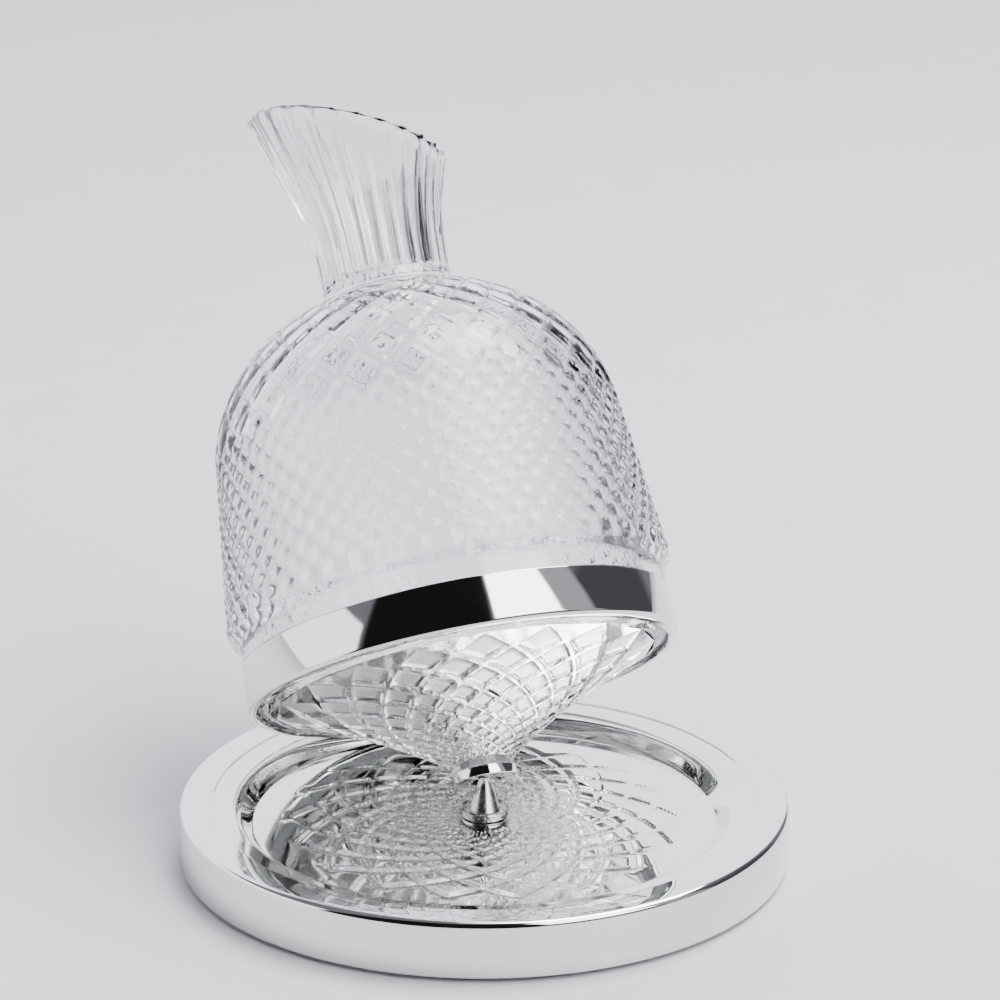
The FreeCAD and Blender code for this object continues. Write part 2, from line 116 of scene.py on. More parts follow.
# Disc under the foot
SEAT_R = 10.7
SEAT_LOW = -2.0
SEAT_T = 3.5
SEAT_EDGE = 0.35
SPIGOT_R = 4.6
SPIGOT_H = 3.0
CUP_R = 3.0
CUP_ANGLE = 60.0            # degrees from the axis to the edge of the cup
GLUE_T = 0.3

# Band
BAND_R = 72.0
BAND_T = 1.0
BAND_LOW = 32.8
BAND_H = 16.4
BAND_ROUND = 2.0            # rolled lower edge
BAND_EDGE = 0.35
BAND_LIP_R = 68.4
BAND_LIP_EDGE = 0.3

# Lower glass
JOINT_H = 41.0              # where the two glasses meet
FOOT_R = 10.3
FOOT_H = 2.0
FOOT_EDGE = 0.3
CONE_DIP = 2.5              # how far the outline bows in
FLOOR_T = 7.0
LIP_IN_R = 63.5

# Upper glass
STRIPE_R = 71.5             # plain stripe above the band
STRIPE_TOP = 57.5
STRIPE_EDGE = 0.3
CUTS_LOW = STRIPE_TOP + 1.0     # lowest edge of the cut pattern
BELLY_R = 75.3
SHOULDER_R = 68.7
SHOULDER_H = 117.0
DOME_R = 57.2
DOME_MID_R = 12.0
WALL = 5.6                  # glass of dome and belly
NECK_R = 21.9
NECK_H = 176.0              # waist, where the flare begins
NECK_WALL = 4.0
NECK_FILLET = 7.0
FLARE_R = 100.0
FLARE_TURN = 17.0           # degrees that the flare opens to
MOUTH_H = 224.5             # where the slanting mouth crosses the axis
MOUTH_SLANT = 21.3          # degrees
MOUTH_TURN = 161.0          # degrees from +X to the highest side of the mouth
LIP_H = 1.2                 # height of the rounded edge of the mouth
# For each ring of that edge: share across the wall, and height above where it starts
LIP_SHAPE = ((0.06, 0.5), (0.18, 1.0), (0.35, 1.2), (0.65, 1.2), (0.82, 1.0), (0.94, 0.5))

# Cut patterns
DIAMONDS = 48               # small diamonds round the belly
SMALL_DEPTH = 1.55          # depth of the cuts between small diamonds
LARGE_DEPTH = 1.0           # depth of the cuts between large flat diamonds
SMALL_BULGE = 2.2           # 2 is a round pillow, and higher is a flatter top
LARGE_BULGE = 6.0
SMALL_PARTS = 4             # faces along one side of a diamond
LARGE_PARTS = 8
LARGE_FROM_H = 121.0        # large diamonds start above this height
DEPTH_BLEND = 8.0           # height over which the cuts change depth
FLUTES = 24                 # flutes round the neck
FLUTE_DEPTH = 2.6
FLUTE_FADE = 0.35           # share of their depth that the flutes lose towards the mouth
FLUTES_UP = 0.6             # flutes start this far above the fillet's middle
LATTICE = 18                # spirals in each family under the vessel
LATTICE_END = 0.93          # share of the cone's outline that the lattice covers
RIDGE_H = 0.8               # ridges under the vessel stand this proud
RIDGE_TOP = 0.045           # half the ridge's flat top, as a share of a pane
RIDGE_SIDE = 0.075          # the ridge's sloping side, as a share of a pane
RIDGE_FADE = 1.5            # rows over which the ridges die away under the band
# Where a pane is divided along each side, as shares
PANE_CUTS = (0.0, 0.045, 0.12, 0.31, 0.5, 0.69, 0.88, 0.955, 1.0)

# Faces along each stretch
NECK_ROWS = 22
BORE_ROWS = 14
DOME_ROWS = 22
BELLY_ROWS = 8
CONE_ROWS = 14

BAND_TOP = BAND_LOW + BAND_H
GLASS_R = BAND_R - BAND_T - GLUE_T
NECK_BORE_R = NECK_R - NECK_WALL
NECK_BORE_FLARE_R = FLARE_R + NECK_WALL
SEAT_TOP = SEAT_LOW + SEAT_T
SPIGOT_TOP = SEAT_TOP + SPIGOT_H

spin = next(joint for joint in frame["joints"] if joint["name"] == "spin")
TIP = Vector(spin["pos_m"])
LEAN = atan2(spin["axis"][1], spin["axis"][2])
VESSEL_TO_ROW = Matrix.Translation(TIP) @ Matrix.Rotation(-LEAN, 4, "X")

# ---------------------------------------------------------------- materials


def linear(hex_colour):
    """sRGB hex to the linear colour that the nodes take."""
    out = []
    for k in (1, 3, 5):
        c = int(hex_colour[k:k + 2], 16) / 255
        out.append(c / 12.92 if c <= 0.04045 else ((c + 0.055) / 1.055) ** 2.4)
    return (*out, 1.0)


def add_node(tree, kind, inputs=None, **settings):
    """Add a node, set its properties, and link or set its inputs."""
    node = tree.nodes.new(kind)
    for name, value in settings.items():
        setattr(node, name, value)
    for key, value in (inputs or {}).items():
        if isinstance(value, bpy.types.NodeSocket):
            tree.links.new(value, node.inputs[key])
        else:
            node.inputs[key].default_value = value
    return node


def new_material(name, **shader_inputs):
    """A material with a Principled shader, and object coordinates in metres."""
    material = bpy.data.materials.new(name)
    material.use_nodes = True
    tree = material.node_tree
    tree.nodes.clear()
    shader = add_node(tree, "ShaderNodeBsdfPrincipled",
                      {key.replace("_", " "): value for key, value in shader_inputs.items()})
    add_node(tree, "ShaderNodeOutputMaterial", {"Surface": shader.outputs[0]})
    place = add_node(tree, "ShaderNodeTexCoord").outputs["Object"]
    return material, tree, shader, place


def noise(tree, place, size_mm, detail=3.0, rough=0.55):
    """Noise whose features are about size_mm across."""
    return add_node(tree, "ShaderNodeTexNoise", {
        "Vector": place, "Scale": 1.0 / (size_mm * MM), "Detail": detail, "Roughness": rough})


def spread(tree, value, low, high):
    """Map noise, which stays near 0.3 to 0.7, to low..high."""
    return add_node(tree, "ShaderNodeMapRange", {
        "Value": value, "From Min": 0.3, "From Max": 0.7,
        "To Min": low, "To Max": high}).outputs["Result"]


def bump(tree, shader, height, depth_mm, normal=None):
    """Bump the surface by a height, on top of an earlier bump if one is given."""
    inputs = {"Height": height, "Distance": depth_mm * MM, "Strength": 1.0}
    if normal:
        inputs["Normal"] = normal
    node = add_node(tree, "ShaderNodeBump", inputs)
    tree.links.new(node.outputs["Normal"], shader.inputs["Normal"])
    return node.outputs["Normal"]


def two_tone(tree, shader, share, dark, light):
    """Colour the surface between two tones by a share."""
    tone = add_node(tree, "ShaderNodeMixRGB", {
        "Fac": share, "Color1": linear(dark), "Color2": linear(light)})
    tree.links.new(tone.outputs[0], shader.inputs["Base Color"])


def calculator(tree):
    """A function that adds one Math node to the tree and gives its output."""
    def calc(operation, a, b=0.0, c=0.0):
        return add_node(tree, "ShaderNodeMath", {0: a, 1: b, 2: c}, operation=operation).outputs[0]
    return calc


def crystal():
    """Pressed crystal, fire-polished: clear, with a faint chill-mark ripple and satin cuts.

    The vertex attribute "grain" is 1 along the cuts and 0 on the polished glass.
    """
    material, tree, shader, place = new_material(
        "pressed_crystal_glass", Base_Color=linear("#FBFCFD"), Roughness=0.0,
        IOR=1.53, Transmission_Weight=1.0)
    ripple = noise(tree, place, 6.0, 2.0)
    grain = noise(tree, place, 0.9, 3.0)
    frost = add_node(tree, "ShaderNodeAttribute", attribute_name="grain").outputs["Fac"]
    fine = calculator(tree)("MULTIPLY", grain.outputs[0], frost)
    satin = add_node(tree, "ShaderNodeMapRange", {
        "Value": frost, "From Min": 0.35, "From Max": 1.0, "To Min": 0.0, "To Max": 0.30})
    tree.links.new(satin.outputs["Result"], shader.inputs["Roughness"])
    first = bump(tree, shader, ripple.outputs[0], 0.10)
    bump(tree, shader, fine, 0.16, first)
    return material


def chrome(name, smudge=0.05):
    """Chromium plate on polished steel: neutral mirror with faint wiping haze."""
    material, tree, shader, place = new_material(
        name, Base_Color=linear("#E6E6E5"), Metallic=1.0, Roughness=0.04)
    haze = noise(tree, place, 14.0, 4.0)
    tree.links.new(spread(tree, haze.outputs[0], 0.02, 0.02 + smudge), shader.inputs["Roughness"])
    bump(tree, shader, noise(tree, place, 9.0, 1.0).outputs[0], 0.006)
    return material


def turned_steel(name, tint, rough):
    """Lathe-turned steel: fine rings up its height, drawn coarser than real so that they show."""
    ring_mm = 0.35              # the rings lie 2 pi times this apart
    node_factor = 20.0          # the wave texture multiplies its own scale by this
    material, tree, shader, place = new_material(
        name, Base_Color=linear(tint), Metallic=1.0, Roughness=rough)
    rings = add_node(tree, "ShaderNodeTexWave", {
        "Vector": place, "Scale": 1.0 / (ring_mm * MM) / node_factor, "Distortion": 0.4},
        wave_type="BANDS", bands_direction="Z")
    haze = noise(tree, place, 2.0, 3.0)
    tree.links.new(spread(tree, haze.outputs[0], rough * 0.8, rough * 1.3),
                   shader.inputs["Roughness"])
    bump(tree, shader, rings.outputs["Fac"], 0.004)
    return material


def cast_iron():
    """Grey cast iron as it leaves the sand: dark, dull and pitted."""
    material, tree, shader, place = new_material(
        "cast_iron", Base_Color=linear("#3A3B3D"), Metallic=0.6, Roughness=0.7)
    pits = noise(tree, place, 1.2, 5.0, 0.7)
    two_tone(tree, shader, pits.outputs[0], "#2C2D2F", "#4B4C4E")
    bump(tree, shader, pits.outputs[0], 0.25)
    return material


def soft_black(name, size_mm):
    """Black rubber or closed-cell foam: dull, with a fine cell texture."""
    material, tree, shader, place = new_material(
        name, Base_Color=linear("#161617"), Roughness=0.8)
    cells = add_node(tree, "ShaderNodeTexVoronoi", {
        "Vector": place, "Scale": 1.0 / (size_mm * MM)})
    two_tone(tree, shader, cells.outputs["Distance"], "#161617", "#242426")
    bump(tree, shader, cells.outputs["Distance"], 0.08)
    return material


def clear_cement():
    """Clear cured glass cement: faintly milky, with trapped bubbles."""
    material, tree, shader, place = new_material(
        "clear_glass_cement", Base_Color=linear("#E9ECEE"), Roughness=0.25, IOR=1.5,
        Transmission_Weight=0.55)
    bubbles = noise(tree, place, 0.8, 4.0, 0.7)
    tree.links.new(spread(tree, bubbles.outputs[0], 0.15, 0.6), shader.inputs["Roughness"])
    bump(tree, shader, bubbles.outputs[0], 0.2)
    return material


def studio_surface():
    """Matte pale board under the object."""
    material, tree, shader, place = new_material(
        "pale_studio_board", Base_Color=linear("#DDDFE3"), Roughness=0.55)
    two_tone(tree, shader, noise(tree, place, 30.0, 5.0).outputs[0], "#DADCE0", "#E1E3E7")
    return material


# ---------------------------------------------------------------- mesh helpers


def finish_mesh(name, mesh, material, sharp=None):
    """Put a mesh in the scene as an object at the origin."""
    obj = bpy.data.objects.new(name, mesh)
    bpy.context.scene.collection.objects.link(obj)
    mesh.materials.clear()
    mesh.materials.append(material)
    if sharp is not None:
        mesh.shade_smooth()
        mesh.set_sharp_from_angle(angle=radians(sharp))
    return obj


def arc(centre, radius, start, end, steps=8):
    """Points of an outline's arc, angles in degrees above the outward direction."""
    turns = [radians(start + (end - start) * k / steps) for k in range(steps + 1)]
    return [(centre[0] + radius * cos(t), centre[1] + radius * sin(t)) for t in turns]


def low_edge(radius, height, size, steps=4):
    """Rounded lower corner on the outer side of an outline."""
    return arc((radius - size, height + size), size, -90, 0, steps)


def top_edge(radius, height, size, steps=4):
    """Rounded upper corner on the outer side of an outline."""
    return arc((radius - size, height - size), size, 0, 90, steps)


def lathe(name, outline, material, to_row=Matrix.Identity(4), steps=192, sharp=30):
    """Turn a closed outline of (radius, height) points, in mm, about the local Z."""
    on_axis = 1e-6
    mesh = bpy.data.meshes.new(name)
    build = bmesh.new()
    rings = []
    for radius, height in outline:
        turns = [2 * pi * k / steps for k in range(steps)]
        if radius < on_axis:
            pole = build.verts.new(to_row @ Vector((0, 0, height * MM)))
            rings.append([pole] * steps)
        else:
            rings.append([build.verts.new(to_row @ Vector((
                radius * MM * cos(t), radius * MM * sin(t), height * MM))) for t in turns])
    for low, high in zip(rings, rings[1:] + rings[:1]):
        for k in range(steps):
            corners = [low[k], low[k - 1], high[k - 1], high[k]]
            corners = [v for n, v in enumerate(corners) if v not in corners[:n]]
            if len(corners) > 2:
                build.faces.new(corners)
    bmesh.ops.recalc_face_normals(build, faces=build.faces)
    build.to_mesh(mesh)
    build.free()
    return finish_mesh(name, mesh, material, sharp)


class Skin:
    """Collects faces over named points, so that neighbours share their corners."""

    def __init__(self):
        self.build = bmesh.new()
        self.grain = self.build.verts.layers.float.new("grain")
        self.points = {}

    def vertex(self, point, grain=0.0):
        """The vertex at a point; the first to ask for a point sets its grain."""
        key = tuple(round(c, 4) for c in point)
        if key not in self.points:
            self.points[key] = self.build.verts.new(VESSEL_TO_ROW @ (Vector(point) * MM))
            self.points[key][self.grain] = grain
        return self.points[key]

    def face(self, points, smooth=False, grain=0.0):
        """A face over points; corners in one place count once."""
        corners = [self.vertex(point, grain) for point in points]
        corners = [v for n, v in enumerate(corners) if v not in corners[:n]]
        if len(corners) > 2:
            self.build.faces.new(corners).smooth = smooth

    def rows(self, rings, smooth=True, grain=0.0):
        """Quads between rings of equal count, triangles where the next ring has twice as many."""
        for low, high in zip(rings, rings[1:]):
            if len(high) == len(low):
                for k in range(len(low)):
                    self.face([low[k - 1], low[k], high[k], high[k - 1]], smooth, grain)
            else:
                self.doubled(low, high, smooth, grain)

    def doubled(self, low, high, smooth, grain):
        """Triangles from a ring to one with twice as many points."""
        for k in range(len(low)):
            n = (k + 1) % len(low)
            middle = high[2 * k + 1]
            self.face([low[k], low[n], middle], smooth, grain)
            self.face([low[k], middle, high[2 * k]], smooth, grain)
            self.face([low[n], high[2 * n], middle], smooth, grain)

    def to_object(self, name, material):
        bmesh.ops.recalc_face_normals(self.build, faces=self.build.faces)
        mesh = bpy.data.meshes.new(name)
        self.build.to_mesh(mesh)
        self.build.free()
        return finish_mesh(name, mesh, material)


def ring_of(radius, height, count, first=0.0):
    """Points round the axis; radius and height may be functions of the angle."""
    out = []
    for k in range(count):
        t = 2 * pi * (k + first) / count
        r = radius(t) if callable(radius) else radius
        h = height(t) if callable(height) else height
        out.append((r * cos(t), r * sin(t), h))
    return out

# ---------------------------------------------------------------- glass outlines


def dome_start():
    """Angle where the dome takes over from the belly."""
    return acos((SHOULDER_R - DOME_MID_R) / DOME_R)


def dome_mid_h():
    """Height of the middle of the dome's arc."""
    return SHOULDER_H - DOME_R * sin(dome_start())


def neck_join(radius, waist, fillet):
    """Angle of the dome's end, and the middle of the fillet between dome and neck."""
    rise = acos((waist + fillet - DOME_MID_R) / (radius + fillet))
    return rise, (waist + fillet, dome_mid_h() + (radius + fillet) * sin(rise))


def neck_radius(height, waist=NECK_R, flare=FLARE_R):
    """Radius of the flaring neck at a height above the waist."""
    turn = radians(FLARE_TURN)
    rise = height - NECK_H
    if rise <= 0:
        return waist
    if rise < flare * sin(turn):
        return waist + flare - sqrt(flare ** 2 - rise ** 2)
    return waist + flare * (1 - cos(turn)) + (rise - flare * sin(turn)) * tan(turn)


def mouth_height(turn):
    """Height where the slanting mouth meets the neck wall, by direction about the axis."""
    tries = 12                  # each try lands nearer to the wall
    height = MOUTH_H
    for _ in range(tries):
        reach = neck_radius(height) * cos(turn - radians(MOUTH_TURN))
        height = MOUTH_H + reach * tan(radians(MOUTH_SLANT))
    return height


class Meridian:
    """Outer outline of belly and dome, cut into rows that keep the diamonds square."""

    def __init__(self, columns):
        self.belly = hypot(SHOULDER_H - CUTS_LOW, BELLY_R - SHOULDER_R)
        rise, _ = neck_join(DOME_R, NECK_R, NECK_FILLET)
        self.length = self.belly + DOME_R * (rise - dome_start())
        step = 2 * pi / columns
        marks = [0.0]
        while marks[-1] < self.length:
            marks.append(marks[-1] + self.at(marks[-1])[0] * step)
        count = len(marks) - 1 - (len(marks) - 1) % 2
        self.marks = [mark * self.length / marks[count] for mark in marks[:count + 1]]

    def at(self, s):
        """(radius, height, outward radius part, outward height part) at arc length s."""
        if s < self.belly:
            part = s / self.belly
            slope = atan2(BELLY_R - SHOULDER_R, SHOULDER_H - CUTS_LOW)
            return (BELLY_R + (SHOULDER_R - BELLY_R) * part,
                    CUTS_LOW + (SHOULDER_H - CUTS_LOW) * part,
                    cos(slope), sin(slope))
        t = dome_start() + (s - self.belly) / DOME_R
        return (DOME_MID_R + DOME_R * cos(t), dome_mid_h() + DOME_R * sin(t), cos(t), sin(t))

    def row(self, k):
        """Arc length of a row, which may lie between two rows."""
        k = min(max(k, 0.0), len(self.marks) - 1.0)
        low = min(int(k), len(self.marks) - 2)
        return self.marks[low] + (self.marks[low + 1] - self.marks[low]) * (k - low)


def cut_belly(skin, line, columns):
    """Small pillowed diamonds on the belly and large flat ones on the dome."""
    last = len(line.marks) - 1
    step = 2 * pi / columns

    def depth(k):
        """Depth of the cuts at row k."""
        height = line.at(line.row(k))[1]
        part = min(1.0, max(0.0, (height - LARGE_FROM_H) / DEPTH_BLEND))
        return SMALL_DEPTH + (LARGE_DEPTH - SMALL_DEPTH) * part

    def spot(m, k, rise=0.0):
        """Point at column m and row k, from the bottom of the cuts (0) to the top (1)."""
        r, h, out_r, out_h = line.at(line.row(k))
        lift = depth(k) * (rise - 1.0)
        r, h = r + out_r * lift, h + out_h * lift
        return (r * cos(m % columns * step), r * sin(m % columns * step), h)

    def pillow(m, k, size, parts, bulge):
        """One diamond about column m and row k, size columns wide on each side."""
        def side(t):
            return 1.0 - abs(2.0 * t - 1.0) ** bulge
        cuts = [n / parts for n in range(parts + 1)]
        grid = [[spot(m + size * (a - b), k + size * (a + b - 1), side(a) * side(b))
                 for a in cuts] for b in cuts]
        for i, row in enumerate(grid):
            for j, point in enumerate(row):
                skin.vertex(point, 0.0 if 0 < i < parts and 0 < j < parts else 1.0)
        for i in range(parts):
            for j in range(parts):
                skin.face([grid[i][j], grid[i][j + 1], grid[i + 1][j + 1], grid[i + 1][j]],
                          smooth=True)

    def half(m, k, way):
        """Plain triangle that ends the pattern at its first or last row."""
        parts = [n / SMALL_PARTS for n in range(SMALL_PARTS + 1)]
        edge = [spot(m - 1 + t, k + way * t) for t in parts]
        edge += [spot(m + t, k + way * (1 - t)) for t in parts[1:]]
        skin.face(edge + [spot(m, k)], smooth=True)

    first_large = next(k for k in range(0, last, 2) if line.at(line.row(k))[1] > LARGE_FROM_H)
    covered = set()
    for k in range(first_large, last - 1, 2):
        for m in range(0, columns, 2):
            if (m // 2 + k // 2) % 2:
                covered.update({((m + a) % columns, k + b)
                                for a, b in ((1, 0), (-1, 0), (0, 1), (0, -1))})
                pillow(m, k, 2, LARGE_PARTS, LARGE_BULGE)
    for k in range(last + 1):
        for m in range(columns):
            if (m + k) % 2 == 0 or (m, k) in covered:
                continue
            if 0 < k < last:
                pillow(m, k, 1, SMALL_PARTS, SMALL_BULGE)
            else:
                half(m, k, 1 if k == 0 else -1)


def cut_ring(line, k, count):
    """Ring along the bottom of the cuts, at the first or the last row."""
    r, h, out_r, out_h = line.at(line.row(k))
    cut = LARGE_DEPTH if k else SMALL_DEPTH
    return ring_of(r - out_r * cut, h - out_h * cut, count)


def collar_outline(low):
    """Collar that the band is cemented to, then the plain stripe up to the cuts."""
    top = BAND_TOP + GLUE_T
    outline = [(GLASS_R, low), (GLASS_R, top), (STRIPE_R, top)]
    outline += arc((STRIPE_R - STRIPE_EDGE, top + STRIPE_EDGE), STRIPE_EDGE, -30, 0, 3)
    return outline + [(STRIPE_R, STRIPE_TOP - 3.0), (STRIPE_R + 0.1, STRIPE_TOP - 0.6)]


def flute_cut(turn):
    """How deep the flutes are at a direction about the axis: hollow, with sharp edges between."""
    return FLUTE_DEPTH * (1 - (2 * ((turn * FLUTES / (2 * pi)) % 1.0) - 1) ** 2)


def neck_rings(low, count):
    """Outer rings of the fluted neck, from the flutes' start to the edge of the mouth."""
    def ring(share):
        def height(t):
            return low + (mouth_height(t) - low - LIP_H) * share

        def radius(t):
            return neck_radius(height(t)) - flute_cut(t) * (1.0 - FLUTE_FADE * share)
        return ring_of(radius, height, count)
    return [ring(k / NECK_ROWS) for k in range(NECK_ROWS + 1)]


def lip_rings(count):
    """Rounded edge of the mouth, from the outer wall over to the inner wall."""
    def ring(across, up):
        def radius(t):
            outer = neck_radius(mouth_height(t)) - (1.0 - FLUTE_FADE) * flute_cut(t)
            inner = neck_radius(mouth_height(t), NECK_BORE_R, NECK_BORE_FLARE_R)
            return outer + (inner - outer) * across
        return ring_of(radius, lambda t: mouth_height(t) - LIP_H + up, count)
    return [ring(across, up) for across, up in LIP_SHAPE]


def bore_rings(count):
    """Inner rings of the neck, from the mouth down to the waist."""
    def ring(share):
        def height(t):
            return NECK_H + (mouth_height(t) - NECK_H - LIP_H) * share

        def radius(t):
            return neck_radius(height(t), NECK_BORE_R, NECK_BORE_FLARE_R)
        return ring_of(radius, height, count)
    return [ring(1 - k / BORE_ROWS) for k in range(BORE_ROWS + 1)]


def inside_outline(low):
    """Inner wall of dome and belly, down to the lip that sits on the lower glass."""
    inner_r = DOME_R - WALL
    rise, corner = neck_join(inner_r, NECK_BORE_R, NECK_FILLET + WALL)
    outline = arc(corner, NECK_FILLET + WALL, 180, degrees(rise) + 180, 8)
    outline += arc((DOME_MID_R, dome_mid_h()), inner_r, degrees(rise), degrees(dome_start()),
                   DOME_ROWS)
    r, h = outline[-1]
    outline += [(r + (GLASS_R - WALL - r) * k / BELLY_ROWS, h + (STRIPE_TOP - h) * k / BELLY_ROWS)
                for k in range(1, BELLY_ROWS + 1)]
    return outline + [(LIP_IN_R, low + 2), (LIP_IN_R, low)]


def glass_bell(material):
    """Upper glass: collar, plain stripe, cut belly and dome, fluted neck and slanting mouth."""
    columns = 2 * DIAMONDS
    fine = 2 * columns
    low = JOINT_H + GLUE_T
    skin = Skin()
    line = Meridian(columns)
    cut_belly(skin, line, columns)
    collar = [ring_of(r, h, columns) for r, h in collar_outline(low)]
    skin.rows(collar + [cut_ring(line, 0, columns)])

    rise, corner = neck_join(DOME_R, NECK_R, NECK_FILLET)
    fillet = arc(corner, NECK_FILLET, degrees(rise) + 180, 180, 7)[1:]
    rings = [cut_ring(line, len(line.marks) - 1, columns)]
    rings += [ring_of(r, h, fine) for r, h in fillet]
    rings += neck_rings(corner[1] + FLUTES_UP, fine) + lip_rings(fine) + bore_rings(fine)
    rings += [ring_of(r, h, fine) for r, h in inside_outline(low)]
    skin.rows(rings)
    skin.rows([ring_of(GLASS_R, low, columns), ring_of(LIP_IN_R, low, fine)])
    return skin.to_object("glass_bell_cut", material)


def bowed(start, end, share):
    """Point on the lower cone's slightly hollow outline."""
    run, rise = end[0] - start[0], end[1] - start[1]
    length = hypot(run, rise)
    dip = 4 * CONE_DIP * share * (1 - share)
    return (start[0] + run * share - dip * rise / length,
            start[1] + rise * share + dip * run / length)


class Lattice:
    """Outer side of the lower glass, cut into rows that keep the panes square."""

    def __init__(self, columns, start, end):
        self.start, self.end = start, end
        self.step = 2 * pi / columns
        length = hypot(end[0] - start[0], end[1] - start[1])
        marks = [0.0]
        while marks[-1] < 1.0:
            marks.append(marks[-1] + bowed(start, end, marks[-1])[0] * self.step / length)
        self.count = len(marks) - 1 - (len(marks) - 1) % 2
        self.marks = [mark / marks[self.count] * LATTICE_END for mark in marks[:self.count + 1]]

    def spot(self, m, k, lift=0.0):
        """Point at column m and row k, moved out from the glass by lift."""
        ahead_by = 0.01             # step along the outline that gives its direction
        k = min(max(k, 0.0), float(self.count))
        n = min(int(k), self.count - 1)
        share = self.marks[n] + (self.marks[n + 1] - self.marks[n]) * (k - n)
        r, h = bowed(self.start, self.end, share)
        ahead = bowed(self.start, self.end, share + ahead_by)
        run, rise = ahead[0] - r, ahead[1] - h
        size = hypot(run, rise)
        r, h = r + rise / size * lift, h - run / size * lift
        return (r * cos(m * self.step), r * sin(m * self.step), h)

    def lift(self, a, b, k):
        """How far a pane lies below its ridges, at shares a and b across it."""
        edge = min(a, b, 1 - a, 1 - b)
        fade = min(1.0, (self.count - k) / RIDGE_FADE)
        return -RIDGE_H * fade * min(1.0, max(0.0, (edge - RIDGE_TOP) / RIDGE_SIDE))

    def pane(self, skin, m, k):
        """One whole pane, with half of each ridge round it."""
        grid = [[self.spot(m + a - b, k + a + b - 1, self.lift(a, b, k + a + b - 1))
                 for a in PANE_CUTS] for b in PANE_CUTS]
        faces = len(PANE_CUTS) - 1
        for i in range(faces):
            for j in range(faces):
                middle = 1 < i < faces - 2 and 1 < j < faces - 2
                skin.face([grid[i][j], grid[i][j + 1], grid[i + 1][j + 1], grid[i + 1][j]],
                          smooth=middle, grain=1.0 if middle else 0.15)

    def half(self, skin, m, k, side):
        """Plain triangle that ends the lattice at its first or last row."""
        left = [self.spot(m - 1 + a, k + side * a) for a in PANE_CUTS]
        right = [self.spot(m + 1 - a, k + side * a) for a in PANE_CUTS]
        for n in range(len(PANE_CUTS) - 1):
            skin.face([left[n], right[n], right[n + 1], left[n + 1]], smooth=True, grain=0.6)


def close(skin, ring, height):
    """Close a ring to a point on the axis."""
    for k in range(len(ring)):
        skin.face([ring[k - 1], ring[k], (0.0, 0.0, height)], smooth=True)


def glass_cone(material):
    """Lower glass: foot, ridged lattice and the rim that the band hides."""
    columns = 2 * LATTICE
    foot_low = SEAT_TOP + GLUE_T
    end = (BAND_LIP_R - GLUE_T, BAND_LOW + BAND_T + GLUE_T)
    lattice = Lattice(columns, (FOOT_R, foot_low + FOOT_H), end)
    skin = Skin()
    for k in range(1, lattice.count):
        for m in range(columns):
            if (m + k) % 2:
                lattice.pane(skin, m, k)
    for k, side in ((0, 1), (lattice.count, -1)):
        for m in range(columns):
            if (m + k) % 2:
                lattice.half(skin, m, k, side)

    top = [lattice.spot(m + a, lattice.count) for m in range(0, columns, 2) for a in (0.0, 1.0)]
    outline = [end, (GLASS_R, end[1] + BAND_T), (GLASS_R, JOINT_H), (LIP_IN_R, JOINT_H)]
    floor = SPIGOT_TOP + GLUE_T + FLOOR_T
    inner_start, inner_end = (FOOT_R, floor + FOOT_H), (LIP_IN_R, JOINT_H - BAND_T)
    outline += [bowed(inner_start, inner_end, 1 - k / CONE_ROWS) for k in range(CONE_ROWS + 1)]
    outline += [(FOOT_R * 0.6, floor + 0.3 * FOOT_H), (FOOT_R * 0.25, floor)]
    rings = [top] + [ring_of(r, h, columns) for r, h in outline]
    skin.rows(rings)
    close(skin, rings[-1], floor)

    bottom = [lattice.spot(m, 0) for m in range(columns)]
    hole, hole_top = SPIGOT_R + GLUE_T, SPIGOT_TOP + GLUE_T
    foot = [(FOOT_R, foot_low + FOOT_EDGE), (FOOT_R - FOOT_EDGE, foot_low), (hole, foot_low),
            (hole, hole_top)]
    rings = [bottom] + [ring_of(r, h, columns) for r, h in foot]
    skin.rows(rings)
    close(skin, rings[-1], hole_top)
    return skin.to_object("glass_cone_cut", material)


# ---------------------------------------------------------------- metal outlines


def rolling_band(material):
    """Band round the belly, rolled under at its lower edge."""
    mid = (BAND_R - BAND_ROUND, BAND_LOW + BAND_ROUND)
    outline = [(BAND_LIP_R, BAND_LOW + BAND_LIP_EDGE), (BAND_LIP_R + BAND_LIP_EDGE, BAND_LOW)]
    outline += low_edge(BAND_R, BAND_LOW, BAND_ROUND, 10)
    outline += top_edge(BAND_R, BAND_TOP, BAND_EDGE)
    outline += [(BAND_R - BAND_T, BAND_TOP)]
    outline += arc(mid, BAND_ROUND - BAND_T, 0, -90, 6) + [(BAND_LIP_R, BAND_LOW + BAND_T)]
    return lathe("rolling_band_chrome", outline, material, VESSEL_TO_ROW, 256)


def base_shell(material):
    """Outer shell of the base: hem, side wall and flat rim."""
    mid = (BASE_R - RIM_ROUND, BASE_H - RIM_ROUND)
    outline = [(BASE_R - HEM_W, HEM_Z), (BASE_R - HEM_ROUND, HEM_Z)]
    outline += low_edge(BASE_R, HEM_Z, HEM_ROUND)
    outline += top_edge(BASE_R, BASE_H, RIM_ROUND, 10)
    outline += arc((RIM_INNER_R + RIM_INNER_ROUND, BASE_H - RIM_INNER_ROUND), RIM_INNER_ROUND,
                   90, 180, 6)
    outline += [(RIM_INNER_R, BASE_H - SHELL_T)]
    outline += arc(mid, RIM_ROUND - SHELL_T, 90, 0, 6)
    outline += [(BASE_R - SHELL_T, HEM_Z + HEM_T), (BASE_R - HEM_W, HEM_Z + HEM_T)]
    return lathe("base_shell_chrome", outline, material, steps=256)


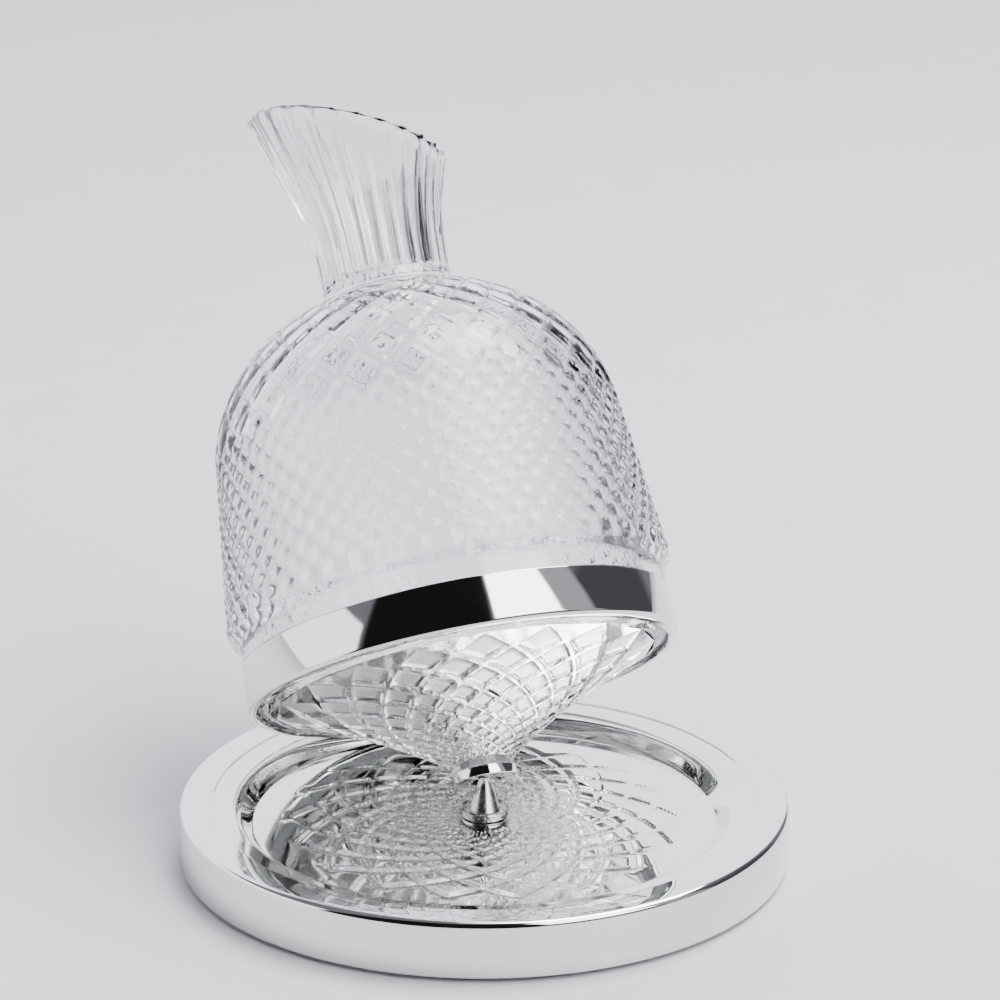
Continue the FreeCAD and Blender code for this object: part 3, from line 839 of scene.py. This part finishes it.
def seat_disc(material):
    """Metal disc under the foot, with the same inner hollow as the working part."""
    pin_half = atan2(PIN_FOOT_R - PIN_TIP_R, CONE_H)
    side = LEAN + pin_half
    clear = PIN_TIP_R * cos(pin_half) - TIP_UP * sin(pin_half) + GLUE_T
    apex = clear / sin(side)
    cup_low = (TIP_BALL_R + BALL_GAP) * cos(radians(CUP_ANGLE))
    outline = [((apex - SEAT_LOW) * tan(side), SEAT_LOW)]
    outline += low_edge(SEAT_R, SEAT_LOW, SEAT_EDGE) + top_edge(SEAT_R, SEAT_TOP, SEAT_EDGE)
    outline += [(SPIGOT_R, SEAT_TOP), (SPIGOT_R, SPIGOT_TOP), (CUP_R, SPIGOT_TOP),
                (CUP_R, cup_low), ((apex - cup_low) * tan(side), cup_low)]
    return lathe("seat_disc_chrome", outline, material, VESSEL_TO_ROW, 128)


def race_pair(material):
    """Two stacked races, with the gap that the balls run in left open."""
    low_top = RACE_LOW + RACE_T
    up_low = low_top + RACE_SPACE
    up_top = up_low + RACE_T
    lower = [(STEM_R + RACE_BORE_GAP, RACE_LOW), (RACE_R, RACE_LOW)]
    lower += top_edge(RACE_R, low_top, RACE_EDGE) + [(STEM_R + RACE_BORE_GAP, low_top)]
    upper = [(STEM_R, up_low)] + low_edge(UPPER_RACE_R, up_low, RACE_EDGE)
    upper += [(UPPER_RACE_R, up_top + RACE_LIP_H - RACE_LIP_EDGE),
              (UPPER_RACE_R - RACE_LIP_EDGE, up_top + RACE_LIP_H),
              (UPPER_RACE_R - RACE_LIP_W / 2, up_top + RACE_LIP_H),
              (UPPER_RACE_R - RACE_LIP_W, up_top), (STEM_R, up_top)]
    return (lathe("lower_race_turned", lower, material, steps=96),
            lathe("upper_race_turned", upper, material, steps=96))


def pivot_pin(material):
    """Cone with a small collar at its foot and a ball socket in its tip."""
    foot = RACE_LOW + 2 * RACE_T + RACE_SPACE
    top = foot + CONE_H
    socket = degrees(asin(-TIP_UP / (TIP_BALL_R + BALL_GAP)))
    outline = [(0.0, foot - STEM_L), (STEM_R, foot - STEM_L), (STEM_R, foot), (PIN_FOOT_R, foot),
               (PIN_FOOT_R, foot + PIN_FOOT_H / 2),
               (PIN_FOOT_R - PIN_FOOT_H / 2, foot + PIN_FOOT_H),
               (PIN_TIP_R + 0.08, top - 0.15), (PIN_TIP_R - 0.05, top)]
    outline += arc((0.0, top + TIP_UP), TIP_BALL_R + BALL_GAP, socket, -90, 6)
    return lathe("pivot_pin_turned", outline, material, steps=96)


# ---------------------------------------------------------------- dish, a grid with a rule


def dish_tree(material):
    """Geometry Nodes: a wrapped grid, raised to the dish's outline and pressed with spirals."""
    tree = bpy.data.node_groups.new("pressed_dish", "GeometryNodeTree")
    sizes = {"Hole radius": SPIGOT_HOLE_R, "Edge radius": FLANGE_R, "Floor height": FLOOR_Z,
             "Floor radius": FLOOR_R, "Step radius": STEP_R, "Step height": STEP_Z,
             "Flange radius": RIM_INNER_R, "Flange height": FLANGE_TOP,
             "Rosette radius": ROSETTE_R, "Groove depth": GROOVE_DEPTH,
             "Groove share": GROOVE_SHARE}
    tree.interface.new_socket("Geometry", in_out="OUTPUT", socket_type="NodeSocketGeometry")
    for name in sizes:
        tree.interface.new_socket(name, in_out="INPUT", socket_type="NodeSocketFloat")
    tree.interface.new_socket("Spirals", in_out="INPUT", socket_type="NodeSocketInt")
    tree.interface.new_socket("Spiral slope", in_out="INPUT", socket_type="NodeSocketFloat")
    given = add_node(tree, "NodeGroupInput").outputs

    calc = calculator(tree)
    natural = 2.718281828       # base of the natural logarithm
    weld = 0.00001              # metres

    def between(value, from_low, from_high, low, high, shape="LINEAR"):
        return add_node(tree, "ShaderNodeMapRange", {
            "Value": value, "From Min": from_low, "From Max": from_high,
            "To Min": low, "To Max": high}, interpolation_type=shape).outputs["Result"]

    grid = add_node(tree, "GeometryNodeMeshGrid", {
        "Size X": 1.0, "Size Y": 1.0, "Vertices X": DISH_COLUMNS, "Vertices Y": DISH_RINGS})
    spot = add_node(tree, "ShaderNodeSeparateXYZ", {
        "Vector": add_node(tree, "GeometryNodeInputPosition").outputs[0]})
    turn = calc("MULTIPLY", calc("ADD", spot.outputs["X"], 0.5), 2 * pi)
    radius = between(spot.outputs["Y"], -0.5, 0.5, given["Hole radius"], given["Edge radius"])

    climb = calc("DIVIDE", calc("LOGARITHM", radius, natural),
                 calc("TANGENT", calc("RADIANS", given["Spiral slope"])))
    edge = calc("SUBTRACT", 0.5, calc("MULTIPLY", given["Groove share"], 0.5))
    lines = []
    for sign in (1.0, -1.0):
        phase = calc("MULTIPLY", calc("ADD", turn, calc("MULTIPLY", climb, sign)),
                     calc("DIVIDE", given["Spirals"], 2 * pi))
        off_line = calc("ABSOLUTE", calc("SUBTRACT", calc("FRACT", phase), 0.5))
        lines.append(between(off_line, edge, 0.5, 0.0, 1.0, "SMOOTHSTEP"))
    groove = calc("MAXIMUM", lines[0], lines[1])
    fade = between(radius, calc("SUBTRACT", given["Rosette radius"], ROSETTE_FADE),
                   given["Rosette radius"], 1.0, 0.0, "SMOOTHSTEP")
    near = between(radius, HUB_PLAIN_R, HUB_FADE_R, 0.0, 1.0, "SMOOTHSTEP")
    press = calc("MULTIPLY", calc("MULTIPLY", groove, given["Groove depth"]),
                 calc("MULTIPLY", fade, near))

    wall = between(radius, given["Floor radius"], given["Step radius"],
                   given["Floor height"], given["Step height"])
    shoulder = between(radius, given["Step radius"], given["Flange radius"], 0.0,
                       calc("SUBTRACT", given["Flange height"], given["Step height"]))
    height = calc("SUBTRACT", calc("ADD", wall, shoulder), press)
    place = add_node(tree, "ShaderNodeCombineXYZ", {
        "X": calc("MULTIPLY", radius, calc("COSINE", turn)),
        "Y": calc("MULTIPLY", radius, calc("SINE", turn)), "Z": height})
    in_metres = add_node(tree, "ShaderNodeVectorMath", {
        0: place.outputs[0], 3: MM}, operation="SCALE")
    bent = add_node(tree, "GeometryNodeSetPosition", {
        "Geometry": grid.outputs["Mesh"], "Position": in_metres.outputs[0]})
    joined = add_node(tree, "GeometryNodeMergeByDistance", {
        "Geometry": bent.outputs[0], "Distance": weld})
    smooth = add_node(tree, "GeometryNodeSetShadeSmooth", {"Geometry": joined.outputs[0]})
    real = add_node(tree, "GeometryNodeRealizeInstances", {"Geometry": smooth.outputs[0]})
    dressed = add_node(tree, "GeometryNodeSetMaterial", {
        "Geometry": real.outputs[0], "Material": material})
    add_node(tree, "NodeGroupOutput", {"Geometry": dressed.outputs[0]})
    return tree, {**sizes, "Spirals": ROSETTE_COUNT, "Spiral slope": ROSETTE_SLOPE}


def bake(obj):
    """Replace an object's mesh with what its modifiers make of it."""
    graph = bpy.context.evaluated_depsgraph_get()
    mesh = bpy.data.meshes.new_from_object(obj.evaluated_get(graph), depsgraph=graph)
    obj.modifiers.clear()
    obj.data = mesh
    return obj


def bake_tree(name, tree, values):
    """Run a tree on an empty mesh, and keep the result as a plain mesh."""
    maker = bpy.data.objects.new(name, bpy.data.meshes.new(name))
    bpy.context.scene.collection.objects.link(maker)
    modifier = maker.modifiers.new("rule", "NODES")
    modifier.node_group = tree
    for item in tree.interface.items_tree:
        if item.in_out == "INPUT" and item.name in values:
            modifier[item.identifier] = values[item.name]
    return bake(maker)


def thicken(obj, thickness_mm, sharp=40):
    """Give an open sheet its wall, below the face that shows."""
    solid = obj.modifiers.new("wall", "SOLIDIFY")
    solid.thickness = thickness_mm * MM
    solid.offset = -1.0
    solid.use_rim = True
    bake(obj).data.set_sharp_from_angle(angle=radians(sharp))
    return obj


# ---------------------------------------------------------------- stage

FLOOR_HALF = 6.0            # metres
LIGHT_AIM = (0.0, 0.0, 0.1)     # metres

ROOM_COLOUR = "#7E8086"
# Panels of the studio, far away: middle azimuth, half width, lowest and highest elevation,
# soft edge (all in degrees), colour and strength. Azimuths are the camera's.
ROOM_PANELS = (
    (176, 36, -30, 44, 12, "#F4F6FF", 2.6),
    (-112, 31, -30, 26, 2, "#F4F5F9", 2.6),
    (85, 24, -30, 34, 8, "#4E4F53", 1.0),
    (-38, 38, -30, 72, 4, "#1C1B1B", 1.0),
    (28, 22, 30, 64, 3, "#FFFFFF", 7.0),
    (60, 8, 10, 50, 4, "#B9BAC0", 1.0),
)


def face_target(obj, azimuth, elevation, target, distance):
    """Stand a light or the camera at an azimuth and elevation, facing its target; in metres."""
    a, e = radians(azimuth), radians(elevation)
    back = Vector((sin(a) * cos(e), -cos(a) * cos(e), sin(e)))
    obj.location = Vector(target) + back * distance
    obj.rotation_euler = (-back).to_track_quat("-Z", "Y").to_euler()


def soft_box(name, azimuth, elevation, distance, size, watts):
    """Square light aimed at the middle of the object; azimuth as for the camera."""
    light = bpy.data.lights.new(name, "AREA")
    light.shape = "RECTANGLE"
    light.size, light.size_y, light.energy = size, size, watts
    obj = bpy.data.objects.new(name, light)
    bpy.context.scene.collection.objects.link(obj)
    face_target(obj, azimuth, elevation, LIGHT_AIM, distance)


def studio_floor():
    """Wide plain floor."""
    mesh = bpy.data.meshes.new("studio_floor")
    corners = [(x * FLOOR_HALF, y * FLOOR_HALF, 0) for x, y in ((-1, -1), (1, -1), (1, 1), (-1, 1))]
    mesh.from_pydata(corners, [], [(0, 1, 2, 3)])
    finish_mesh("studio_floor", mesh, studio_surface())


def studio_room():
    """Panels all round, far away, that the glass and the chrome show."""
    world = bpy.data.worlds.new("studio")
    bpy.context.scene.world = world
    world.use_nodes = True
    tree = world.node_tree
    way = add_node(tree, "ShaderNodeSeparateXYZ", {
        "Vector": add_node(tree, "ShaderNodeTexCoord").outputs["Generated"]}).outputs
    calc = calculator(tree)
    turn = calc("DEGREES", calc("ARCTAN2", way["X"], calc("MULTIPLY", way["Y"], -1.0)))
    rise = calc("DEGREES", calc("ARCSINE", way["Z"]))
    colour = linear(ROOM_COLOUR)
    for middle, half_width, low, high, soft, tone, strength in ROOM_PANELS:
        aside = calc("ABSOLUTE", calc("WRAP", calc("SUBTRACT", turn, middle), 180.0, -180.0))
        above = calc("ABSOLUTE", calc("SUBTRACT", rise, (low + high) / 2))
        masks = [add_node(tree, "ShaderNodeMapRange", {
            "Value": value, "From Min": reach, "From Max": reach + soft,
            "To Min": 1.0, "To Max": 0.0}, interpolation_type="SMOOTHSTEP").outputs["Result"]
            for value, reach in ((aside, half_width), (above, (high - low) / 2))]
        bright = [part * strength for part in linear(tone)[:3]] + [1.0]
        colour = add_node(tree, "ShaderNodeMixRGB", {
            "Fac": calc("MULTIPLY", *masks), "Color1": colour, "Color2": bright}).outputs[0]
    tree.links.new(colour, tree.nodes["Background"].inputs["Color"])


def camera():
    """Camera at the view's angle and distance."""
    data = bpy.data.cameras.new("camera")
    data.lens = VIEW_LENS
    data.sensor_width = VIEW_SENSOR
    data.clip_start, data.clip_end = 0.05, 50.0
    obj = bpy.data.objects.new("camera", data)
    bpy.context.scene.collection.objects.link(obj)
    face_target(obj, VIEW_AZIMUTH, VIEW_ELEVATION, Vector(VIEW_TARGET) * MM, VIEW_DISTANCE * MM)
    bpy.context.scene.camera = obj


# ---------------------------------------------------------------- build


def keep(piece, body, slot, *nodes):
    """Attach a piece to the body it rides on and hide the CAD nodes it stands in for; slot is not
    used.
    """
    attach(piece, body)
    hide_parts(*nodes)


def main():
    camera()
    studio_floor()
    studio_room()
    soft_box("box_top", azimuth=100, elevation=66, distance=1.8, size=1.2, watts=62)
    plate = chrome("bright_chrome_plate")
    dish_plate = chrome("pressed_chrome_plate", 0.06)
    glass = crystal()
    ball_steel = turned_steel("ground_ball_steel", "#DADBDC", 0.08)
    race_steel = turned_steel("turned_race_steel", "#D2D3D4", 0.14)
    pin_steel = turned_steel("satin_turned_steel", "#C6C7C8", 0.24)
    zinc = turned_steel("zinc_plated_steel", "#B4B6B8", 0.35)
    bronze = turned_steel("sintered_bronze", "#5C4A33", 0.5)
    spring_steel = turned_steel("blackened_spring_steel", "#4A4B4E", 0.4)
    cement = clear_cement()

    keep(glass_bell(glass), "vessel", "crystal", "glass_bell")
    keep(glass_cone(glass), "vessel", "crystal", "glass_cone")
    keep(rolling_band(plate), "vessel", "chrome_plate", "rolling_band")
    keep(seat_disc(plate), "vessel", "chrome_plate", "seat_disc")
    keep(base_shell(plate), "base", "chrome_plate", "base_shell")
    tree, values = dish_tree(dish_plate)
    dish = thicken(bake_tree("pressed_dish", tree, values), DISH_T - DISH_INSET)
    keep(dish, "base", "chrome_dish", "embossed_dish")
    lower, upper = race_pair(race_steel)
    keep(lower, "base", "race_steel", "lower_race")
    keep(upper, "pin", "race_steel", "upper_race")
    keep(pivot_pin(pin_steel), "pin", "satin_steel", "pivot_pin")

    finishes = {
        "tip_ball": ball_steel, "seat_cup": ball_steel, "bearing_balls": ball_steel,
        "ball_cage": bronze, "hub_bush": bronze, "hub_block": zinc, "bottom_plate": zinc,
        "plate_screws": zinc, "hub_screws": zinc, "pin_washer": zinc,
        "retaining_ring": spring_steel, "ballast_ring": cast_iron(),
        "base_pad": soft_black("closed_cell_foam", 0.8), "dish_gasket": soft_black("rubber", 1.5),
        "joint_cement": cement, "band_cement": cement, "seat_cement": cement}
    for node, material in finishes.items():
        mesh = frame["nodes"][node].data
        mesh.materials.clear()
        mesh.materials.append(material)


main()
